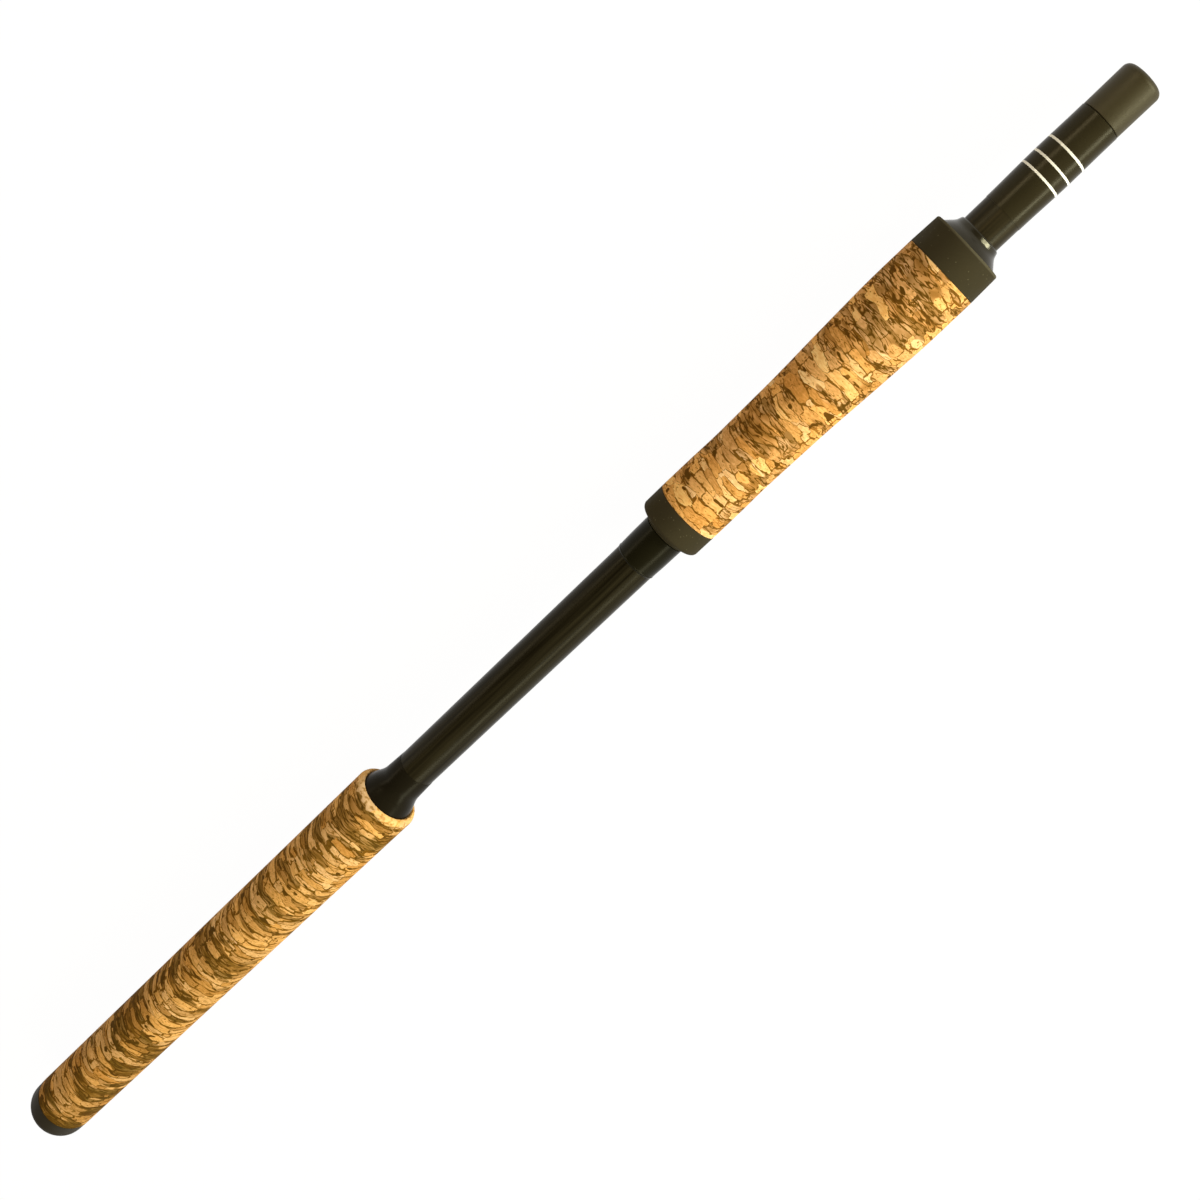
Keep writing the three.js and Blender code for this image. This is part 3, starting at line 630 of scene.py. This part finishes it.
# Screw cap
# Turned aluminium cap with a coin slot across its face and a thread cut behind it, 1.5 mm a turn.
# It unscrews so that the sections can be drawn out backwards and dried.
start = foot("butt_cap")
head_length, head_radius = 3, 11.5
length, core_radius = 14, 9.4
cap = turned(
    [(0, 0), (0, head_radius - 0.5), (0.5, head_radius), (head_length, head_radius),
     (head_length, core_radius), (length - 0.8, core_radius), (length, core_radius - 0.7), (length, 0)],
    start,
)
slot_floor, half_slot = start + 1.4 * MM, 1 * MM
HAIR_BREADTH = 0.01 * MM
for cut, normal in (
    (Vector((0, 0, AXIS_HEIGHT + half_slot)), (0, 0, 1)),
    (Vector((0, 0, AXIS_HEIGHT - half_slot)), (0, 0, -1)),
    (Vector((slot_floor, 0, 0)), (1, 0, 0)),
):
    everything = cap.verts[:] + cap.edges[:] + cap.faces[:]
    bmesh.ops.bisect_plane(cap, geom=everything, dist=1e-7, plane_co=cut, plane_no=normal)


def in_slot(face):
    """Whether a face of the cap lies between the slot's walls and before its floor."""
    middle = face.calc_center_median()
    return abs(middle.z - AXIS_HEIGHT) < half_slot and middle.x < slot_floor - HAIR_BREADTH


# The strip of the cap's face between the slot's walls is pushed in to the floor, and the rim is opened
strip = [face for face in cap.faces if in_slot(face) and face.calc_center_median().x < start + HAIR_BREADTH]
sunk = bmesh.ops.extrude_face_region(cap, geom=strip)["geom"]
bmesh.ops.delete(cap, geom=strip, context="FACES_ONLY")
sunk_verts = [part for part in sunk if isinstance(part, bmesh.types.BMVert)]
bmesh.ops.translate(cap, verts=sunk_verts, vec=(slot_floor - start, 0, 0))
near_rim, on_rim = (head_radius - 0.6) * MM, (head_radius - 0.3) * MM
ends = [face for face in cap.faces if in_slot(face) and abs(face.calc_center_median().y) > near_rim]
bmesh.ops.delete(cap, geom=ends, context="FACES")
bmesh.ops.remove_doubles(cap, verts=cap.verts, dist=MERGE)

# The slot's floor is drawn out to the cap's rim at both ends, and its walls are closed there
open_verts = [vert for vert in cap.verts if vert.is_boundary and abs(vert.co.x - slot_floor) < HAIR_BREADTH]
rim_verts = [vert for vert in open_verts if abs(vert.co.y) > on_rim]
met = {}
for vert in open_verts:
    if vert not in rim_verts:
        met[vert] = min(rim_verts, key=lambda other: (other.co - vert.co).length)
bmesh.ops.weld_verts(cap, targetmap=met)
bmesh.ops.holes_fill(cap, edges=[edge for edge in cap.edges if edge.is_boundary], sides=0)
bmesh.ops.recalc_face_normals(cap, faces=cap.faces)
fit(cap, "screw_cap", anodised, "butt_cap")

TURNS, STEPS_A_TURN, PITCH = 5, 64, 1.5
ridge_start, ridge_foot, ridge_top = 4.2, 9.35, 10.1
profile = [
    (ridge_start, ridge_foot), (ridge_start + PITCH / 2, ridge_top), (ridge_start + PITCH, ridge_foot),
]
ridge = bmesh.new()
points = [ridge.verts.new((start + x * MM, 0, AXIS_HEIGHT + radius * MM)) for x, radius in profile]
lines = [ridge.edges.new(pair) for pair in zip(points, points[1:] + points[:1])]
end_face = ridge.faces.new(points)
bmesh.ops.spin(
    ridge, geom=[*points, *lines, end_face], cent=(0, 0, AXIS_HEIGHT), axis=(1, 0, 0),
    angle=TURNS * 2 * math.pi, steps=TURNS * STEPS_A_TURN, dvec=(PITCH * MM / STEPS_A_TURN, 0, 0),
)
bmesh.ops.recalc_face_normals(ridge, faces=ridge.faces)
cap_thread = finished(ridge, "cap_thread", anodised)
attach(cap_thread, "cap_body")


# Cap seal and bumper
# A rubber ring under the cap's face keeps grit out, and a soft disc on its inner end takes the knock of
# the sections' feet.
SMALL_STEPS = 64
seal_rubber = black_mould(
    "seal_rubber", (0.010, 0.009, 0.007), (0.018, 0.017, 0.013),
    gloss=0.34, dull=0.5, grain=1800, height=0.01, specular=0.3,
)


def seal_ring(node, name, inner_radius, thickness):
    """Round rubber ring in the middle of where its solid lies."""
    size = thickness / 2
    outline = arc(size, inner_radius + size, size, 180, -150, 11)
    fit(turned(outline, foot(node), SMALL_STEPS), name, seal_rubber, node)


seal_ring("butt_cap_o_ring", "cap_seal", inner_radius=10.2, thickness=1.3)
thickness, radius = 4, 9.3
foot_edge, soft_edge = 0.4, 0.8
dimple_radius, dimple_depth = 5, 0.3
bumper = turned(
    [(0, 0), (0, radius - foot_edge), *arc(foot_edge, radius - foot_edge, foot_edge, 180, 90, 3),
     *arc(thickness - soft_edge, radius - soft_edge, soft_edge, 90, 0, 5), (thickness, dimple_radius),
     (thickness - dimple_depth, dimple_radius - 0.4), (thickness - dimple_depth, 0)],
    foot("butt_bumper"), SMALL_STEPS,
)
fit(bumper, "bumper_disc", seal_rubber, "butt_bumper")


# Fore tube
# The second section, in the same lacquer. It slides in the butt tube, and its foot swells to wedge there.
FORE_RADIUS = 9.7
fore_lacquer = lacquer(
    "fore_lacquer", (0.018, 0.014, 0.006), (0.025, 0.019, 0.0085),
    gloss=0.24, dull=0.34, specular=0.11, carbon=True,
)
length, foot_radius, bore, mouth_bore, mouth_length = 779.0, 9.9, 8.94, 8.85, 66
fore_tube = turned(
    [(0, bore), (0, foot_radius), (OVERLAP, FORE_RADIUS), (length, FORE_RADIUS), (length, mouth_bore),
     (length - mouth_length, bore)],
    foot("fore_tube"),
)
fit(fore_tube, "fore_blank", fore_lacquer, "fore_tube")


# Foam trims
# Turned rings of dense black foam at both ends of the short grip: matt, faintly speckled where the cells
# were cut open, with a painted highlight in a narrow band just before the upper trim's end edge.
foam, spot = new_material("trim_foam")
skin = worn(spot, 90, 1300, gloss=0.62, dull=0.8)
cells = put(spot, "TexVoronoi", {"Vector": spot, "Scale": 900}, feature="F1")
cut_open = step(put(spot, "SeparateColor", {0: cells.outputs["Color"]}).outputs[0], 0.9, 0.92)
fleck = both_of(step(cells.outputs["Distance"], 0.05, 0.3, 1, 0), cut_open)
tone = between(skin["Tone"], (0.029, 0.023, 0.0112), (0.04, 0.0317, 0.0157))
flecked = between(fleck, tone, (0.12, 0.105, 0.06))
end_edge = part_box("fore_grip_upper_trim")[1].x
along_rod = put(spot, "SeparateXYZ", {0: spot}).outputs[0]
off_end = step(along_rod, end_edge - 0.15 * MM, end_edge, 1, 0)
# Painted highlight: a paler colour in a band just before the upper trim's end edge, for light caught by its
# rounded edge
painted_edge_highlight = both_of(step(along_rod, end_edge - 1.3 * MM, end_edge - 0.8 * MM), off_end)
surface(
    between(painted_edge_highlight, flecked, (0.075, 0.064, 0.038)), skin["Roughness"], raised(skin["Height"], 0.06, 0.8),
    {"Specular IOR Level": 0.08, "Specular Tint": GLOSS_TINT},
)

FORE_SEAT = 9.78
length, radius, rounding = 15.1, 17.2, 2.2
neck_radius, neck_length = 12, 2
lower_trim = turned(
    [(0, FORE_SEAT), (0, neck_radius - 0.2), (0.2, neck_radius), (0.4, neck_radius),
     *hollow_curve((0.4, neck_radius), (neck_length, neck_radius), (neck_length, radius - rounding))[1:],
     *arc(neck_length + rounding, radius - rounding, rounding, 180, 90, 10)[1:],
     (length - 0.1, radius), (length, radius - 0.1), (length, FORE_SEAT)],
    foot("fore_grip_lower_trim"),
)
fit(lower_trim, "lower_foam_trim", foam, "fore_grip_lower_trim")
foot_radius, end_radius, rounding = 18.56, 18.01, 0.9
length, check_depth = 14.5, 0.8
upper_trim = turned(
    [(0, FORE_SEAT), (0, foot_radius - 0.1), (0.1, foot_radius),
     *arc(length - rounding, end_radius - rounding, rounding, 90, 0, 8), (length - check_depth, CHECK_RADIUS),
     (length - check_depth, FORE_SEAT)],
    foot("fore_grip_upper_trim"),
)
fit(upper_trim, "upper_foam_trim", foam, "fore_grip_upper_trim")


# Short grip
# Burl cork of a coarser pressing, waisted below and swelling above to fill the upper hand.
def smooth(a, b, c, d, t):
    """Value at a share t of the way from b to c, on a smooth curve through four values."""
    square, cube = 2 * a - 5 * b + 4 * c - d, 3 * b - a - 3 * c + d
    return 0.5 * (2 * b + (c - a) * t + square * t * t + cube * t ** 3)


def swell(places, radii, steps):
    """Smooth outline through places along a piece and the radius at each."""
    xs, rs = ([row[0], *row, row[-1]] for row in (places, radii))
    points = []
    for i in range(steps + 1):
        at = min(i / steps * (len(places) - 1), len(places) - 1 - 1e-9)
        k, t = int(at), at % 1
        points.append((smooth(*xs[k:k + 4], t), smooth(*rs[k:k + 4], t)))
    return points


short_cork = cork(
    "short_grip_cork",
    {"Flake": (4.6, 13.5, 13.5), "Thread": (1.6, 10, 10), "Bark": 0.6, "Bend": 0.6, "Seam": 0.85, "Hair": 0,
     "Shade": 1},
    [(0, (0.108, 0.043, 0.002)), (0.2, (0.216, 0.093, 0.011)), (0.4, (0.405, 0.184, 0.04)),
     (0.55, (0.565, 0.27, 0.076)), (0.75, (0.81, 0.44, 0.156)), (0.9, (0.9, 0.58, 0.245)),
     (1, (0.93, 0.66, 0.31))],
)
length = 152.3
shares = [0, 0.12, 0.22, 0.35, 0.48, 0.62, 0.74, 0.85, 1]
fullness = [0.917, 0.905, 0.887, 0.896, 0.91, 0.95, 0.98, 1, 0.99]
sides = swell([share * length for share in shares], [part * GRIP_RADIUS for part in fullness], 48)
fore_grip = turned([(0, FORE_SEAT), *sides, (length, FORE_SEAT)], foot("fore_grip"))
fit(fore_grip, "short_grip", short_cork, "fore_grip")


# Upper check
# Glossy black cone that closes the short grip on the tube, hollowed in its flank, with a bead at its end.
check_lacquer = lacquer(
    "check_lacquer", (0.006, 0.0045, 0.002), (0.009, 0.007, 0.003), gloss=0.18, dull=0.24, specular=0.4,
)
length = 7.3
upper_check = turned(
    [(0, FORE_SEAT), (0, CHECK_RADIUS - 0.2), (0.2, CHECK_RADIUS), (0.5, CHECK_RADIUS),
     (0.7, CHECK_RADIUS - 0.1), (3.4, 12.7), *hollow_curve((3.5, 12.6), (4.6, 11.5), (5.3, 11.25)),
     (6.7, 10.74), (6.9, 10.67), (length, 10.2), (length, FORE_SEAT)],
    foot("upper_winding_check"),
)
fit(upper_check, "tip_side_check", check_lacquer, "upper_winding_check")


# Mouth wrap and stripes
# Thread wound round the fore tube's mouth and lacquered to a slight swell, with three stripes of cream
# paint under the last coat.
WRAP_LENGTH, WRAP_RADIUS = 49, 9.88
SWELL, CREST = 0.3, 0.47
STRIPE_PLACES = [18.8, 25.05, 32.4]
HALF_STRIPE, HALF_GROOVE, CLEAR = 0.5, 0.51, 0.9
STRIPE_DEPTH, GROOVE_DEPTH = 0.15, 0.2


def wrap_radius(x):
    """Radius of the wrap at x along it. It swells most at its crest, a share of its length from its foot."""
    share = x / WRAP_LENGTH
    half = CREST if share < CREST else 1 - CREST
    return WRAP_RADIUS + SWELL * math.cos(math.pi / 2 * (share - CREST) / half) ** 2


# The walls of the stripes' grooves lean by a hair, so that the outline sorts from end to end
LEAN = 0.001
outline = [(i / 30 * WRAP_LENGTH, wrap_radius(i / 30 * WRAP_LENGTH)) for i in range(31)]
outline = [point for point in outline if all(abs(point[0] - middle) > CLEAR for middle in STRIPE_PLACES)]
for middle in STRIPE_PLACES:
    groove_floor = wrap_radius(middle) - GROOVE_DEPTH
    a, b = middle - HALF_GROOVE, middle + HALF_GROOVE
    outline += [(a, wrap_radius(a)), (a + LEAN, groove_floor), (b - LEAN, groove_floor), (b, wrap_radius(b))]
wrap_lacquer = lacquer(
    "wrap_lacquer", (0.02, 0.016, 0.007), (0.027, 0.021, 0.009),
    gloss=0.22, dull=0.3, specular=0.12, winding=0.006,
)
wrap = turned([(0, FORE_SEAT), *sorted(outline), (WRAP_LENGTH, FORE_SEAT)], foot("mouth_wrap"))
fit(wrap, "fore_mouth_wrap", wrap_lacquer, "mouth_wrap")

cream, spot = new_material("stripe_paint")
skin = worn(spot, 300, 1500, gloss=0.2, dull=0.32)
surface(
    between(skin["Tone"], (0.8, 0.76, 0.66), (0.9, 0.87, 0.78)), skin["Roughness"],
    raised(skin["Height"], 0.01, 0.5),
)
for i, middle in enumerate(STRIPE_PLACES, 1):
    inner = wrap_radius(middle) - STRIPE_DEPTH
    lower, upper = wrap_radius(middle - HALF_STRIPE), wrap_radius(middle + HALF_STRIPE)
    stripe = turned(
        [(0, inner), (0, lower), (2 * HALF_STRIPE, upper), (2 * HALF_STRIPE, inner)], foot(f"white_ring_{i}"),
    )
    fit(stripe, f"stripe_{i}", cream, f"white_ring_{i}")


# Inner sections
# Six tapered carbon blanks, each inside the one before: five hollow ones and a solid tip. They are
# sanded, and the fibres show as fine dark lines along them under a thin clear coat.
blank_finish, spot = new_material("bare_carbon")
skin = worn(spot, 45, 1200, gloss=0.24, dull=0.36)
drawn = put(spot, "Mapping", {"Vector": spot, "Scale": (6, 900, 900)}).outputs[0]
fibre_lines = put(spot, "TexNoise", {"Vector": drawn, "Scale": 1, "Detail": 2}).outputs[0]
tape = put(
    spot, "TexWave", {"Vector": spot, "Scale": 60, "Distortion": 0.4}, wave_type="BANDS", bands_direction="X",
)
surface(
    ramp(fibre_lines, [(0.35, (0.009, 0.009, 0.009)), (0.65, (0.026, 0.026, 0.025))]), skin["Roughness"],
    raised(tape.outputs[1], 0.004), {"Coat Weight": 0.4, "Coat Roughness": 0.15, "Specular IOR Level": 0.4},
)

RADIUS_LOST_PER_MM = 0.00132
EDGE = 0.1


def round_size(node):
    """Length of a round solid and its greatest radius, in millimetres. A blank has that at its foot."""
    low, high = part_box(node)
    return (high.x - low.x) / MM, (high.y - low.y) / 2 / MM


for number, wall in (("3", 0.65), ("4", 0.55), ("5", 0.5), ("6", 0.45), ("7", 0.4)):
    node = "section_" + number
    length, foot_radius = round_size(node)
    mouth_radius = foot_radius - RADIUS_LOST_PER_MM * length
    tube = turned(
        [(0, foot_radius - wall), (0, foot_radius - EDGE), (EDGE, foot_radius), (length - EDGE, mouth_radius),
         (length, mouth_radius - EDGE), (length, mouth_radius - wall)],
        foot(node), SMALL_STEPS,
    )
    fit(tube, "blank_" + number, blank_finish, node)

THIN_STEPS = 32
length, foot_radius = round_size("tip_section")
end_radius = 0.6
tip = turned(
    [(0, 0), (0, foot_radius - EDGE), (EDGE, foot_radius), (length, end_radius), (length, 0)],
    foot("tip_section"), THIN_STEPS,
)
fit(tip, "tip_blank", blank_finish, "tip_section")


# Tip ferrule
# Small brass end, glued on the tip, that holds the braid for the line.
brass, spot = new_material("brass_fitting")
skin = worn(spot, 500, 4000, gloss=0.2, dull=0.34)
surface(
    between(skin["Tone"], (0.52, 0.33, 0.11), (0.72, 0.5, 0.2)), skin["Roughness"],
    raised(skin["Height"], 0.005, 0.6), {"Metallic": 1},
)
length, radius = round_size("tip_ferrule")
bore, bore_depth, end_rounding = radius - 0.35, 9.1, 0.4
ferrule = turned(
    [(bore_depth, 0), (bore_depth, bore), (0, bore), (0, radius - EDGE), (EDGE, radius),
     (length - end_rounding, radius), (length, radius - end_rounding), (length, 0)],
    foot("tip_ferrule"), THIN_STEPS,
)
fit(ferrule, "line_ferrule", brass, "tip_ferrule")


# Tip plug
# Satin black plug with a rounded end, pushed into the fore tube's mouth. Two rubber rings in grooves on
# its stem hold it there.
plug_rubber = black_mould(
    "plug_rubber", (0.031, 0.024, 0.01), (0.041, 0.032, 0.014),
    gloss=0.42, dull=0.52, grain=1500, height=0.012, specular=0.27,
)
length, rounding = 45.8, 2.8
stem_length, stem_radius = 24, 8.65
groove_width, groove_radius = 1.6, 7.3
outline = [(0, 0), (0, stem_radius - 1), (1, stem_radius)]
for start in (5.2, 13.2):
    end = start + groove_width
    outline += [(start, stem_radius), (start, groove_radius), (end, groove_radius), (end, stem_radius)]
outline += [
    (stem_length, stem_radius), (stem_length, FORE_RADIUS - 0.3), (stem_length + 0.3, FORE_RADIUS),
    *arc(length - rounding, FORE_RADIUS - rounding, rounding, 90, 0, 10), (length, 0),
]
fit(turned(outline, foot("tip_plug")), "plug", plug_rubber, "tip_plug")
for number in (1, 2):
    seal_ring(f"plug_o_ring_{number}", f"plug_seal_{number}", inner_radius=7.4, thickness=1.4)
